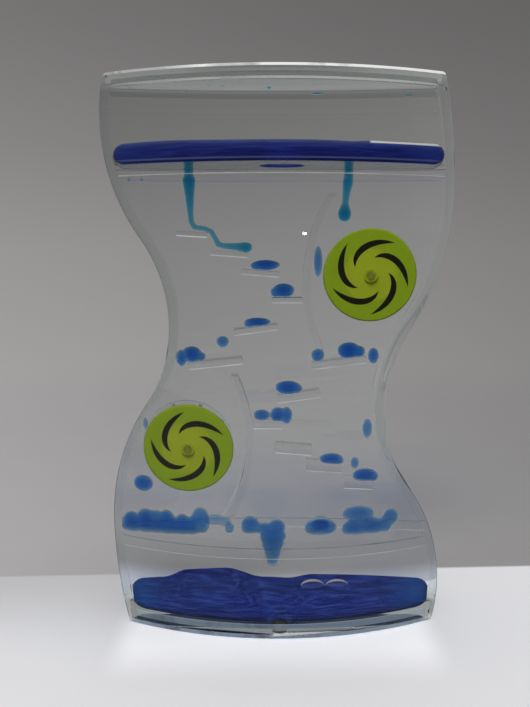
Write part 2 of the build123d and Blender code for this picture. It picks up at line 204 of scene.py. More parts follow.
bpy.ops.mesh.primitive_plane_add(size=FLOOR_SIZE, location=(0, 0, -FLOOR_DROP))
floor = bpy.context.active_object
floor.name = "floor"
floor_finish, start = new_finish("table_and_wall")
place = on_piece(start)
across = parts(place)
depth = across.beside("Y") - EDGE_TURN * across
corner = smooth_step(start, depth, TABLE_EDGE - CORNER_DEPTH, TABLE_EDGE)
corner = corner * smooth_step(start, across, 0.0, -CORNER_WIDTH)
table = scaled(start, TABLE_WHITE, 1.0 - CORNER_SHADE * corner)
behind = smooth_step(start, depth, TABLE_EDGE - EDGE_SOFTNESS, TABLE_EDGE + EDGE_SOFTNESS)
way = start.node("VectorMath", {"operation": "SUBTRACT"}, {0: place, 1: CAMERA_PLACE})
far = wall_colour(start, start.node("VectorMath", {"operation": "NORMALIZE"}, {0: way}))
beside = smooth_step(start, start.maths("ABSOLUTE", across), GATHER_WIDTH, GATHER_CORE)
back, front = (beside * smooth_step(start, across.beside("Y"), *ends) for ends in (GATHER_BEHIND, GATHER_BEFORE))
far = scaled(start, far, (1.0 + BEHIND_GAIN * back) / FLOOR_LIGHT)
table = scaled(start, table, 1.0 + BEFORE_GAIN * front)
grain = spread(noise(start, place, GRAIN_SCALE), 1.0 - TABLE_GRAIN / 2, TABLE_GRAIN)
ray = start.node("LightPath", output="Is Glossy Ray")
shine = ray * (1.0 - ray.beside("Is Transmission Ray"))
tone = start.node("HueSaturation", inputs={
    "Color": blended(start, behind, table, far), "Value": grain * (1.0 - (1.0 - ROOM_DIM) * shine)})
matt = start.node("BsdfDiffuse", inputs={"Color": tone})
away = start.node("VectorMath", {"operation": "LENGTH"}, {0: place}, output="Value")
fade = smooth_step(start, away, FADE_START, FADE_END)
start.node("OutputMaterial", inputs={"Surface": mixed(start, fade, matt, start.node("BsdfTransparent"))})
floor.data.materials.append(floor_finish)

world = bpy.data.worlds.new("studio")
bpy.context.scene.world = world
world.use_nodes = True
world.node_tree.nodes.clear()
start = Wire(world.node_tree)
way = start.node("TexCoord", output="Generated")
wall = wall_colour(start, way)
ray = start.node("LightPath", output="Is Camera Ray")
glossy = ray.beside("Is Glossy Ray")
front = ramp(start, parts(way).beside("Y"), ROOM_START, ROOM_FULL)
wall = scaled(start, wall, 1.0 - (1.0 - ROOM_DIM) * glossy * front)
seen = start.maths("MAXIMUM", start.maths("MAXIMUM", ray, glossy), ray.beside("Is Transmission Ray"))
glow = blended(start, seen, (*STUDIO_LIGHT, 1), wall)
start.node("OutputWorld", inputs={"Surface": start.node("Background", inputs={"Color": glow})})

LAMPS = [  # place, aim, shape, width, length, watts, mirrored by the case, seen through it
    ((-0.20, -0.95, 1.25), (0.0, 0.0, 0.07), "RECTANGLE", 0.9, 0.6, 15.5, False, False),
    ((0.00, -1.30, 0.35), (0.0, 0.0, 0.07), "RECTANGLE", 0.6, 0.5, 3.0, False, False),
    ((0.00, 0.10, 1.30), (0.0, 0.0, 0.14), "RECTANGLE", 1.2, 0.20, 1.0, True, True),
    ((0.28, -1.52, 0.140), (0.0, 0.0, 0.13), "ELLIPSE", 0.05, 0.009, 0.027, True, False),
]
for place, aim, shape, width, length, watts, mirrored, through in LAMPS:
    bpy.ops.object.light_add(type="AREA", location=place)
    lamp = bpy.context.active_object
    lamp.data.shape = shape
    lamp.data.size = width
    lamp.data.size_y = length
    lamp.data.energy = watts
    lamp.visible_glossy = mirrored
    lamp.visible_transmission = through
    lamp.rotation_euler = (Vector(aim) - Vector(place)).to_track_quat("-Z", "Y").to_euler()


# Case: front and rear half shells of clear acrylic, moulded with bowed faces and wavy sides and
# bonded edge to edge at mid-depth. Oil fills the case, so only the outer faces bend light strongly.
MM = 0.001
HALF_HEIGHT = 70.0  # millimetres, as all sizes of the case
HALF_DEPTH = 18.0
FACE_RADIUS = 100.0
WALL = 2.5
EDGE_ROUND = 0.8
INNER_ROUND = 0.5
CAP_FLANGE = 1.5
WAIST = (-61.55, 10.5, 35.0)  # middle across, middle above mid-height and radius of the left side's arcs
LOW_BULGE = (14.0016, -42.0, 57.0016)
HIGH_BULGE = (4.7006, 60.0, 47.7006)
FOOT = (65.0, -42.0, 108.0)
SHOULDER = (-9.0, 60.0, 34.0)
SIDE_COLUMNS, ROUND_COLUMNS, FACE_COLUMNS = 3, 4, 72
SHELL_ROWS = 130
BOND = 0.01  # thickness of the bond line between the case's pieces
SMOOTH_ANGLE = radians(32)
WELD_REACH = 1e-7
LEVEL = 0.99  # upright share of a level face's direction
EDGE_LOW, EDGE_HIGH = 0.03, 0.895  # the same in depth for the faces of a rounded long edge
WIPE_SCALE = (160.0, 160.0, 45.0)
WIPE_LOW, WIPE_HIGH = 0.45, 0.75


def spot(x, y, z):
    """A point in metres from millimetres, with z from the middle of the case."""
    return Vector((x, y, z + HALF_HEIGHT)) * MM


def side_x(z, inset):
    """Place across of the case's left side at a height, moved in by inset."""
    low_end = LOW_BULGE[1] + (WAIST[1] - LOW_BULGE[1]) * (LOW_BULGE[2] - inset) / (LOW_BULGE[2] + WAIST[2])
    high_start = HIGH_BULGE[1] + (WAIST[1] - HIGH_BULGE[1]) * (HIGH_BULGE[2] - inset) / (HIGH_BULGE[2] + WAIST[2])
    if low_end < z < high_start:
        return WAIST[0] + sqrt((WAIST[2] + inset) ** 2 - (z - WAIST[1]) ** 2)
    if z < FOOT[1]:
        arc = FOOT
    elif z <= low_end:
        arc = LOW_BULGE
    elif z <= SHOULDER[1]:
        arc = HIGH_BULGE
    else:
        arc = SHOULDER
    return arc[0] - sqrt((arc[2] - inset) ** 2 - (z - arc[1]) ** 2)


def front_path(z, inset, rounding):
    """Front half of the case's outline in plan at a height: points from the left seam to the right one."""
    left, right = side_x(z, inset), -side_x(-z, inset)
    radius, middle = FACE_RADIUS - inset, FACE_RADIUS - HALF_DEPTH
    corners = []
    for side, way in ((left, 1), (right, -1)):
        x = side + way * rounding
        y = middle - sqrt((radius - rounding) ** 2 - x**2)
        corners.append((x, y, atan2(y - middle, x) % (2 * pi)))
    (left_x, left_y, left_turn), (right_x, right_y, right_turn) = corners
    path = [(left, left_y * step / SIDE_COLUMNS) for step in range(SIDE_COLUMNS)]
    for step in range(ROUND_COLUMNS):
        turn = pi + (left_turn - pi) * step / ROUND_COLUMNS
        path.append((left_x + rounding * cos(turn), left_y + rounding * sin(turn)))
    for step in range(FACE_COLUMNS + 1):
        turn = left_turn + (right_turn - left_turn) * step / FACE_COLUMNS
        path.append((radius * cos(turn), middle + radius * sin(turn)))
    for step in range(1, ROUND_COLUMNS + 1):
        turn = right_turn + (2 * pi - right_turn) * step / ROUND_COLUMNS
        path.append((right_x + rounding * cos(turn), right_y + rounding * sin(turn)))
    path += [(right, right_y * (1 - step / SIDE_COLUMNS)) for step in range(1, SIDE_COLUMNS + 1)]
    return path


def lay_grid(name, columns, rows, where):
    """A grid whose crossings are laid on a surface: where(column, row) gives each one's place."""
    bpy.ops.mesh.primitive_grid_add(x_subdivisions=columns, y_subdivisions=rows, size=2)
    grid = bpy.context.active_object
    grid.name = name
    for vertex in grid.data.vertices:
        column = round((vertex.co.x + 1) / 2 * columns)
        row = round((vertex.co.y + 1) / 2 * rows)
        vertex.co = where(column, row)
    return grid


def join(name, pieces):
    """Several meshes made one."""
    bpy.ops.object.select_all(action="DESELECT")
    for piece in pieces:
        piece.select_set(True)
    bpy.context.view_layer.objects.active = pieces[0]
    if len(pieces) > 1:
        bpy.ops.object.join()
    pieces[0].name = name
    return pieces[0]


def weld(piece):
    """Merges doubled points and turns all faces outwards."""
    bpy.ops.object.mode_set(mode="EDIT")
    bpy.ops.mesh.select_all(action="SELECT")
    bpy.ops.mesh.remove_doubles(threshold=WELD_REACH)
    bpy.ops.mesh.normals_make_consistent(inside=False)
    bpy.ops.object.mode_set(mode="OBJECT")
    bpy.ops.object.shade_smooth_by_angle(angle=SMOOTH_ANGLE)
    return piece


shell_columns = len(front_path(0, 0, EDGE_ROUND)) - 1
shell_top = HALF_HEIGHT - CAP_FLANGE - BOND


def half_shell(name, way):
    """One half shell: its outer skin, its inner skin and the rims between them."""
    skins = []
    for inset, rounding in ((0.0, EDGE_ROUND), (WALL, INNER_ROUND)):
        heights = [shell_top * (2 * row / SHELL_ROWS - 1) for row in range(SHELL_ROWS + 1)]
        paths = [front_path(z, inset, rounding) for z in heights]
        skins.append(lay_grid(name, shell_columns, SHELL_ROWS, lambda column, row: spot(
            paths[row][column][0], way * min(paths[row][column][1], -BOND), heights[row])))
    shell = join(name, skins)
    bpy.ops.object.mode_set(mode="EDIT")
    bpy.ops.mesh.select_mode(type="EDGE")
    bpy.ops.mesh.select_all(action="DESELECT")
    bpy.ops.mesh.select_non_manifold(extend=False, use_wire=False, use_boundary=True, use_multi_face=False,
                                     use_non_contiguous=False, use_verts=False)
    bpy.ops.mesh.bridge_edge_loops()
    bpy.ops.object.mode_set(mode="OBJECT")
    return weld(shell)


def clear_plastic(start, bend, tint, haze=0.02, scuffs=0.0):
    """Shader of clear plastic that bends light by a ratio; fine wipe marks and scuffs dull it a little."""
    stretched = start.node("Mapping", inputs={"Vector": on_piece(start), "Scale": WIPE_SCALE})
    wipes = noise(start, stretched, detail=4.0, roughness=0.6)
    dull = ramp(start, wipes, WIPE_LOW, WIPE_HIGH, top=haze)
    return start.node("BsdfGlass", inputs={"Color": (*tint, 1), "Roughness": dull + scuffs, "IOR": bend})


def let_lamps_through(start, body, tint=(1.0, 1.0, 1.0)):
    """The shader, but clear to the light of the lamps."""
    straight = start.node("BsdfTransparent", inputs={"Color": (*tint, 1)})
    return mixed(start, start.node("LightPath", output="Is Shadow Ray"), body, straight)


CASE_TINT = (0.08, 0.34, 0.28)  # grey-green where light runs far through the wall
CASE_DENSITY = 7.0
AIR_FACE = (1.48, (0.99, 0.995, 0.993))  # how much a face bends light, and its tint
OIL_FACE = (0.995, (0.995, 0.998, 0.998))
CAP_FACE = (1.012, (0.96, 0.96, 0.965))
SCUFF_HAZE = 0.2
# What a face borders on. Rear edges are mostly clear, so that they don't mirror the water.
REAR_EDGE, OUTSIDE, SCUFFED, INSIDE, CAP_INSIDE, BONDED = -0.8, 0.0, 0.3, 1.0, 2.0, 3.0
# Pale white of the cement beads; also the colour of painted highlights on the top cap's rim, the decks and the water.
CEMENT_AND_HIGHLIGHT_WHITE = (0.95, 0.95, 0.91)
BLUE_CEMENT_AND_PAINTED_LIGHT = (0.66, 0.82, 1.0)  # painted bluish light at the foot, on the floor cap's front faces and its cement bead
FROST_CLEARNESS = 0.22
RUNS_SCALE, RUNS_LOW, RUNS_HIGH = 90.0, 0.22, 0.46
JOINT_SHADE = (0.05, 0.05, 0.055)


def pale_cement_and_painted_light(start, tone=CEMENT_AND_HIGHLIGHT_WHITE):
    """Pale shader that lets some light through, for cement beads, painted highlights and painted light."""
    colour = {"Color": (*tone, 1)}
    return mixed(start, FROST_CLEARNESS, start.node("BsdfDiffuse", inputs=colour),
                 start.node("BsdfTranslucent", inputs=colour))


case_finish, start = new_finish("clear_acrylic")
skin = start.node("Attribute", {"attribute_name": "skin"}, output="Fac")
scuffs = ramp(start, skin, OUTSIDE, SCUFFED, top=SCUFF_HAZE)
in_air = clear_plastic(start, *AIR_FACE, scuffs=scuffs)
in_oil = clear_plastic(start, *OIL_FACE)
body = mixed(start, start.maths("GREATER_THAN", skin, (OUTSIDE + INSIDE) / 2), in_air, in_oil)
below_cap = clear_plastic(start, *CAP_FACE)
body = mixed(start, start.maths("GREATER_THAN", skin, (INSIDE + CAP_INSIDE) / 2), body, below_cap)
straight = start.maths("MAXIMUM", start.maths("GREATER_THAN", skin, (CAP_INSIDE + BONDED) / 2), -1.0 * skin)
body = mixed(start, straight, body, start.node("BsdfTransparent"))
# Pale marks by face: cement, painted highlights, painted bluish light and, where the value is negative, painted
# shade; noise breaks them into patches.
runs = ramp(start, noise(start, on_piece(start), RUNS_SCALE), RUNS_LOW, RUNS_HIGH)
frost = start.node("Attribute", {"attribute_name": "frost"}, output="Fac")
shade = start.node("BsdfDiffuse", inputs={"Color": (*JOINT_SHADE, 1)})
body = mixed(start, start.maths("MAXIMUM", -1.0 * frost), body, shade)
height = parts(on_piece(start)).beside("Z")
# Below mid-height the pale marks are painted bluish light.
bead = mixed(start, start.maths("LESS_THAN", height, HALF_HEIGHT * MM), pale_cement_and_painted_light(start), pale_cement_and_painted_light(start, BLUE_CEMENT_AND_PAINTED_LIGHT))
body = mixed(start, runs * start.maths("MAXIMUM", frost), body, bead)
start.node("OutputMaterial", inputs={
    "Surface": let_lamps_through(start, body),
    "Volume": start.node("VolumeAbsorption", inputs={"Color": (*CASE_TINT, 1), "Density": CASE_DENSITY})})


def wear_case_finish(piece, kind):
    """Clear acrylic for a piece of the case; kind(face) says what each face borders on and its cement, painted light
    and shade.
    """
    piece.data.materials.append(case_finish)
    for name, values in zip(("skin", "frost"), zip(*[kind(face) for face in piece.data.polygons])):
        piece.data.attributes.new(name, "FLOAT", "FACE").data.foreach_set("value", values)


def shell_face(face):
    """What a face of a half shell borders on: the bond, the air or the oil. Its rounded edges differ."""
    if abs(face.normal.z) > LEVEL or abs(face.center.y) < 2 * BOND * MM:
        return BONDED, 0.0
    if face.normal.x * face.center.x + face.normal.y * face.center.y < 0:
        return INSIDE, 0.0
    if EDGE_LOW < abs(face.normal.y) < EDGE_HIGH:
        return (SCUFFED if face.normal.y < 0 else REAR_EDGE), 0.0
    return OUTSIDE, 0.0


for node, way in (("front_shell", 1), ("rear_shell", -1)):
    shell = half_shell("case_" + node, way)
    wear_case_finish(shell, shell_face)
    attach(shell, "case")
    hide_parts(node)


# Caps: flat clear plates at both ends, with a step that plugs the shells, bonded all round.
# The floor cap has a small boss with the filling hole.
CAP_STEP = 1.8
CAP_FIT = 0.1
CAP_EDGE = 0.8
PLUG_CHAMFER = 0.2
BEAD_WIDTH = 0.5
BEAD_START, BEAD_FULL = -27.0, -17.0  # the bead and the painted rim highlight are thin at the left end of the top cap
# How pale the top cap's marks are: the cement bead at the plug's foot, partly a painted highlight, and a painted
# highlight along the rounded top edge.
THIN_BEAD, PAINTED_RIM_HIGHLIGHT, TOP_BEAD_AND_HIGHLIGHT = 0.25, 0.9, 0.65
PLUG_SHADE = -0.38  # shade in the joint above the bead
# Painted bluish light on the floor cap: on its rounded front faces and on the bead at its plug's foot.
PAINTED_FLOOR_RIM_LIGHT, FLOOR_BEAD_AND_PAINTED_LIGHT = 0.3, 0.42
TOP_FLAT = 0.3
CAP_EDGE_STEPS = 3
CLOSE = 0.05  # faces this near to a place count as there
ROUND_STEEPNESS = 0.2  # least upright share of a rounded edge's direction
FRONT_LEAN = 0.1  # least forward share of a front face's direction
BORE_SIDES = 64
PLUG_X, PLUG_Y = 0.6, -11.5
PLUG_LOW_RADIUS, PLUG_HIGH_RADIUS, PLUG_LENGTH = 1.8, 1.65, 6.0
BOSS_RADIUS, BOSS_RISE = 3.1, 1.6


def plan_loop(z, inset, rounding):
    """The case's whole outline in plan at a height."""
    front = front_path(z, inset, rounding)
    return front + [(x, -y) for x, y in front[-2:0:-1]]


def raise_loops(name, loops):
    """A closed solid through a stack of loops: a filled outline, extruded from each loop to the next."""
    bpy.ops.mesh.primitive_circle_add(vertices=len(loops[0]), radius=1.0, fill_type="NGON")
    piece = bpy.context.active_object
    piece.name = name
    for vertex, point in zip(piece.data.vertices, loops[0]):
        vertex.co = point
    for loop in loops[1:]:
        first = len(piece.data.vertices) - len(loop)
        bpy.ops.object.mode_set(mode="EDIT")
        bpy.ops.mesh.select_mode(type="FACE")
        bpy.ops.mesh.extrude_region_move()
        bpy.ops.object.mode_set(mode="OBJECT")
        old = {tuple(piece.data.vertices[first + i].co): i for i in range(len(loop))}
        for vertex in piece.data.vertices[first + len(loop):]:
            vertex.co = loop[old[tuple(vertex.co)]]
    return piece


def cap_loops():
    """Loops of the top cap from the plug's inner face to the rounded top edge."""
    inner, outer = HALF_HEIGHT - CAP_FLANGE - CAP_STEP, HALF_HEIGHT - CAP_FLANGE
    plug = WALL + CAP_FIT
    heights = [(inner, plug + PLUG_CHAMFER, INNER_ROUND), (inner + PLUG_CHAMFER, plug, INNER_ROUND),
               (inner + PLUG_CHAMFER + BEAD_WIDTH, plug, INNER_ROUND), (outer, plug, INNER_ROUND),
               (outer, 0.0, EDGE_ROUND)]
    for step in range(CAP_EDGE_STEPS + 1):
        turn = pi / 2 * step / CAP_EDGE_STEPS
        heights.append((HALF_HEIGHT - CAP_EDGE * (1 - sin(turn)), CAP_EDGE * (1 - cos(turn)), EDGE_ROUND))
    heights.append((HALF_HEIGHT, CAP_EDGE + TOP_FLAT, EDGE_ROUND))
    return [[spot(x, y, z) for x, y in plan_loop(z, inset, rounding)] for z, inset, rounding in heights]


def cut_round(piece, operation, sides, place, depth, low_radius, high_radius, tilt=0.0):
    """Boolean of a piece with a cylinder or cone, sizes in millimetres, that is then removed."""
    bpy.ops.mesh.primitive_cone_add(vertices=sides, radius1=low_radius * MM, radius2=high_radius * MM,
                                    depth=depth * MM, location=place, rotation=(tilt, 0, 0))
    tool = bpy.context.active_object
    modifier = piece.modifiers.new("cut", "BOOLEAN")
    modifier.operation = operation
    modifier.object = tool
    bpy.context.view_layer.objects.active = piece
    bpy.ops.object.modifier_apply(modifier=modifier.name)
    bpy.data.objects.remove(tool)


def cap_face(end):
    """What a face of the cap at an end borders on: the bond at its flange and in the filling hole, air or oil; and
    how much cement bead, painted highlight, painted light and painted shade it carries.
    """
    flange = end * (HALF_HEIGHT - CAP_FLANGE)

    def kind(face):
        height = face.center.z / MM - HALF_HEIGHT
        level = abs(face.normal.z) > LEVEL
        from_plug = sqrt((face.center.x / MM - PLUG_X) ** 2 + (face.center.y / MM - PLUG_Y) ** 2)
        if level and abs(height - flange) < CLOSE or end < 0 and not level and from_plug < PLUG_LOW_RADIUS + CLOSE:
            return BONDED, 0.0
        grown = min(1.0, max(0.0, (face.center.x / MM - BEAD_START) / (BEAD_FULL - BEAD_START)))
        share = THIN_BEAD + (1 - THIN_BEAD) * grown
        in_front = face.normal.y < -FRONT_LEAN
        plug_foot = end * (flange - height) > CAP_STEP - PLUG_CHAMFER - BEAD_WIDTH
        beside_boss = from_plug > BOSS_RADIUS + 2 * CLOSE
        # The bead at the plug's foot: pale cement, partly a painted highlight; on the floor cap, painted bluish
        # light.
        if in_front and not level and plug_foot and beside_boss:
            return BONDED, TOP_BEAD_AND_HIGHLIGHT * share if end > 0 else FLOOR_BEAD_AND_PAINTED_LIGHT
        if in_front and not level and end * (height - flange) < 0 and beside_boss:
            return BONDED, PLUG_SHADE if end > 0 else FLOOR_BEAD_AND_PAINTED_LIGHT
        if end * (height - flange) < 0:
            return (CAP_INSIDE if end > 0 else INSIDE), 0.0
        rounded = ROUND_STEEPNESS < abs(face.normal.z) < LEVEL
        if rounded and not in_front:
            return REAR_EDGE, 0.0
        # A painted highlight along the top cap's rounded front edge.
        if rounded and end > 0:
            return BONDED, PAINTED_RIM_HIGHLIGHT * share
        if level:
            return OUTSIDE, 0.0
        # Painted bluish light on the floor cap's rounded front faces.
        return SCUFFED, PAINTED_FLOOR_RIM_LIGHT if end < 0 and in_front else 0.0
    return kind


top_cap = weld(raise_loops("case_top_cap", cap_loops()))
wear_case_finish(top_cap, cap_face(1))
floor_cap = raise_loops("case_floor_cap", cap_loops())
bpy.ops.transform.rotate(value=pi, orient_axis="Y", center_override=spot(0, 0, 0))
bpy.ops.object.transform_apply(location=True, rotation=True, scale=True)
weld(floor_cap)
boss_middle = CAP_FLANGE + CAP_STEP + (BOSS_RISE - CAP_STEP) / 2
for operation, middle, length, low_radius, high_radius in (
        ("UNION", boss_middle, BOSS_RISE + CAP_STEP, BOSS_RADIUS, BOSS_RADIUS),
        ("DIFFERENCE", PLUG_LENGTH / 2, PLUG_LENGTH, PLUG_LOW_RADIUS, PLUG_HIGH_RADIUS)):
    place = (PLUG_X * MM, PLUG_Y * MM, middle * MM)
    cut_round(floor_cap, operation, BORE_SIDES, place, length, low_radius, high_radius)
bpy.ops.object.select_all(action="DESELECT")
floor_cap.select_set(True)
bpy.ops.object.shade_smooth_by_angle(angle=SMOOTH_ANGLE)
wear_case_finish(floor_cap, cap_face(-1))
for cap, node in ((top_cap, "top_cap"), (floor_cap, "bottom_cap")):
    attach(cap, "case")
    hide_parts(node)


# Decks: clear styrene plates with a funnel and two drip holes, glued into the case. The oil wets
# them all round, so that they show only by the edges of their rims: a pale line of dried glue that is
# partly a painted highlight, and a dark line of painted shade.
DECK_OUTER, DECK_INNER = 48.9, 46.1  # heights of the faces above and below mid-height
RIM_RADIUS = FACE_RADIUS - WALL - 0.6
LINE_WIDTH = 0.3
LINE_CORE = 0.3  # share of the width that is full
# Strengths of the pale line, partly a painted highlight, and of the dark line of painted shade.
UPPER_PALE, LOWER_PALE, DARK_LINE = 0.75, 0.40, 0.42
DECK_FACE = (1.0008, (0.985, 0.987, 0.99))
DECK_SHADE = (0.06, 0.07, 0.08)
STREAK_SCALE, STREAK_LOW, STREAK_HIGH, STREAK_LEAST = 70.0, 0.3, 0.6, 0.25


def fine_line(start, value, middle, width):
    """1 where a value is at a middle, 0 from a width away."""
    return smooth_step(start, start.maths("ABSOLUTE", value - middle), width, LINE_CORE * width)


def deck_finish(name, pale_height, dark_height, pale_share):
    """Clear plastic with a pale and a dark line along its rim."""
    finish, start = new_finish(name)
    place = on_piece(start)
    across = parts(place)
    depth = start.maths("ABSOLUTE", across.beside("Y")) + (FACE_RADIUS - HALF_DEPTH) * MM
    rim = start.maths("GREATER_THAN", start.maths("SQRT", across * across + depth * depth), RIM_RADIUS * MM)
    streak = rim * ramp(start, noise(start, place, STREAK_SCALE), STREAK_LOW, STREAK_HIGH, STREAK_LEAST)
    height = across.beside("Z")
    # Pale line of glue and painted highlight; dark line of painted shade.
    pale = pale_share * streak * fine_line(start, height, (HALF_HEIGHT + pale_height) * MM, LINE_WIDTH * MM)
    dark = DARK_LINE * streak * fine_line(start, height, (HALF_HEIGHT + dark_height) * MM, LINE_WIDTH * MM)
    body = mixed(start, pale, clear_plastic(start, *DECK_FACE), pale_cement_and_painted_light(start))
    body = mixed(start, dark, body, start.node("BsdfDiffuse", inputs={"Color": (*DECK_SHADE, 1)}))
    start.node("OutputMaterial", inputs={"Surface": let_lamps_through(start, body)})
    return finish


for node, low, high, pale_share in (("upper_deck", DECK_INNER, DECK_OUTER, UPPER_PALE),
                                    ("lower_deck", -DECK_OUTER, -DECK_INNER, LOWER_PALE)):
    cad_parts[node].material_slots[0].material = deck_finish(node + "_in_oil", low, high, pale_share)


# Ledges and dividers: small clear bars and two curved walls that lead the drops, moulded with
# rounded edges and glued between the panels.
CHANNEL_HALF = 5.5
GLUE = 0.04
LEDGE_THICKNESS = 1.4
LEDGE_ROUND = 0.3
ROUND_STEPS = 3
SHARP_ANGLE = radians(40)
LEDGES = {  # left end, right end, height of the top face at each end
    "step_1": (-24.2, -16.6, 33.3, 32.8), "step_2": (-16.0, -7.0, 28.6, 27.9), "step_3": (-8.6, 0.6, 23.9, 23.1),
    "step_4": (-1.32, 5.98, 16.8, 16.8), "chute_1": (-10.6, 0.0, 8.6, 10.1), "chute_2": (-21.95, -8.5, -0.2, 1.4),
}
DIVIDER_X, DIVIDER_Z, DIVIDER_RADIUS = 48.815, 20.5, 42.0
DIVIDER_THICKNESS = 1.8
DIVIDER_LOW, DIVIDER_HIGH = 3.6, 42.1
DIVIDER_STEPS = 40
LEDGE_FACE = (0.992, (0.975, 0.978, 0.982))
# Painted highlight: the lower front edges of the ledges glow white in streaks.
PAINTED_EDGE_GLOW_SHARE, EDGE_GLOW_SCALE, EDGE_GLOW_LEAST = 0.75, 110.0, 0.2
EDGE_GLOW, EDGE_TONE = 0.55, (0.93, 0.95, 1.0)  # painted highlight: a glow at an edge of a clear bar, which is no lamp
EDGE_LEAN = 0.2  # least lean of a rounded edge's faces


def bar(name, outline, front, back, rounding):
    """A bar with an outline in the front view, from one depth to another, all its edges rounded."""
    bpy.ops.mesh.primitive_circle_add(vertices=len(outline), radius=1.0, fill_type="NGON")
    piece = bpy.context.active_object
    piece.name = name
    for vertex, (x, z) in zip(piece.data.vertices, outline):
        vertex.co = spot(x, front, z)
    bpy.ops.object.mode_set(mode="EDIT")
    bpy.ops.mesh.select_all(action="SELECT")
    bpy.ops.mesh.extrude_region_move(TRANSFORM_OT_translate={"value": (0, (back - front) * MM, 0)})
    bpy.ops.mesh.select_all(action="SELECT")
    bpy.ops.mesh.normals_make_consistent(inside=False)
    bpy.ops.mesh.select_mode(type="EDGE")
    bpy.ops.mesh.select_all(action="DESELECT")
    bpy.ops.mesh.edges_select_sharp(sharpness=SHARP_ANGLE)
    bpy.ops.mesh.bevel(offset=rounding * MM, segments=ROUND_STEPS, affect="EDGES")
    bpy.ops.object.mode_set(mode="OBJECT")
    return weld(piece)


def arc_x(z, radius):
    """Place across of a divider's arc at a height."""
    return DIVIDER_X - sqrt(radius**2 - (z - DIVIDER_Z) ** 2)


def lower_edge(face):
    """How much painted highlight a face of a ledge carries: its lower front edge is drawn glowing."""
    return PAINTED_EDGE_GLOW_SHARE if face.normal.y < -EDGE_LEAN and face.normal.z < -EDGE_LEAN else 0.0


ledge_finish, start = new_finish("ledge_in_oil")
streak = ramp(start, noise(start, on_piece(start), EDGE_GLOW_SCALE, 2.0), STREAK_LOW, STREAK_HIGH, EDGE_GLOW_LEAST)
frost = streak * start.node("Attribute", {"attribute_name": "frost"}, output="Fac")
# Painted highlight: an emission that makes the lower front edge glow.
painted_edge_glow = start.node("Emission", inputs={"Color": (*EDGE_TONE, 1), "Strength": EDGE_GLOW})
body = mixed(start, frost, clear_plastic(start, *LEDGE_FACE), painted_edge_glow)
start.node("OutputMaterial", inputs={"Surface": let_lamps_through(start, body)})
outlines = {}
for name, (left, right, left_z, right_z) in LEDGES.items():
    length = sqrt((right - left) ** 2 + (right_z - left_z) ** 2)
    down = ((right_z - left_z) / length * LEDGE_THICKNESS, -(right - left) / length * LEDGE_THICKNESS)
    outlines[name] = [(left, left_z), (right, right_z), (right + down[0], right_z + down[1]),
                      (left + down[0], left_z + down[1])]
heights = [DIVIDER_LOW + (DIVIDER_HIGH - DIVIDER_LOW) * step / DIVIDER_STEPS for step in range(DIVIDER_STEPS + 1)]
outlines["divider"] = [(arc_x(z, DIVIDER_RADIUS + DIVIDER_THICKNESS / 2), z) for z in heights]
outlines["divider"] += [(arc_x(z, DIVIDER_RADIUS - DIVIDER_THICKNESS / 2), z) for z in reversed(heights)]
for name, outline in outlines.items():
    for half, way in (("upper_", 1), ("lower_", -1)):
        piece = bar("clear_" + half + name, [(way * x, way * z) for x, z in outline],
                    GLUE - CHANNEL_HALF, CHANNEL_HALF - GLUE, LEDGE_ROUND)
        piece.data.materials.append(ledge_finish)
        piece.data.attributes.new("frost", "FLOAT", "FACE").data.foreach_set(
            "value", [lower_edge(face) if name != "divider" else 0.0 for face in piece.data.polygons])
        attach(piece, "case")
        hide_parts(half + name)


# Panels: two flat clear sheets between the decks, cut to the case's waist, with holes for the
# wheels' pins. They keep the drops in a narrow channel.
PANEL_THICKNESS = 1.5
PANEL_FIT = 0.2
PANEL_ROUND = 0.15
PANEL_STEPS = 60
WHEELS = {"upper_wheel": (22.315, 22.3), "lower_wheel": (-22.315, -22.3)}
PIN_RADIUS = 0.8
PIN_HOLE_SIDES, PIN_HOLE_DEPTH = 32, 20.0
PANEL_FACE = (0.997, (0.995, 0.995, 0.998))


def clear_finish(name, bend, tint, haze=0.02):
    """A finish of a clear piece in the oil."""
    finish, start = new_finish(name)
    body = clear_plastic(start, bend, tint, haze)
    start.node("OutputMaterial", inputs={"Surface": let_lamps_through(start, body)})
    return finish


panel_finish = clear_finish("panel_in_oil", *PANEL_FACE)
heights = [(DECK_INNER - GLUE) * (2 * step / PANEL_STEPS - 1) for step in range(PANEL_STEPS + 1)]
outline = [(side_x(z, WALL + PANEL_FIT), z) for z in heights]
outline += [(-side_x(-z, WALL + PANEL_FIT), z) for z in reversed(heights)]
for node, way in (("front_panel", -1), ("rear_panel", 1)):
    panel = bar("clear_" + node, outline, way * CHANNEL_HALF, way * (CHANNEL_HALF + PANEL_THICKNESS), PANEL_ROUND)
    for x, z in WHEELS.values():
        cut_round(panel, "DIFFERENCE", PIN_HOLE_SIDES, spot(x, way * CHANNEL_HALF, z), PIN_HOLE_DEPTH,
                  PIN_RADIUS + GLUE, PIN_RADIUS + GLUE, pi / 2)
    panel.data.materials.append(panel_finish)
    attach(panel, "case")
    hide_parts(node)


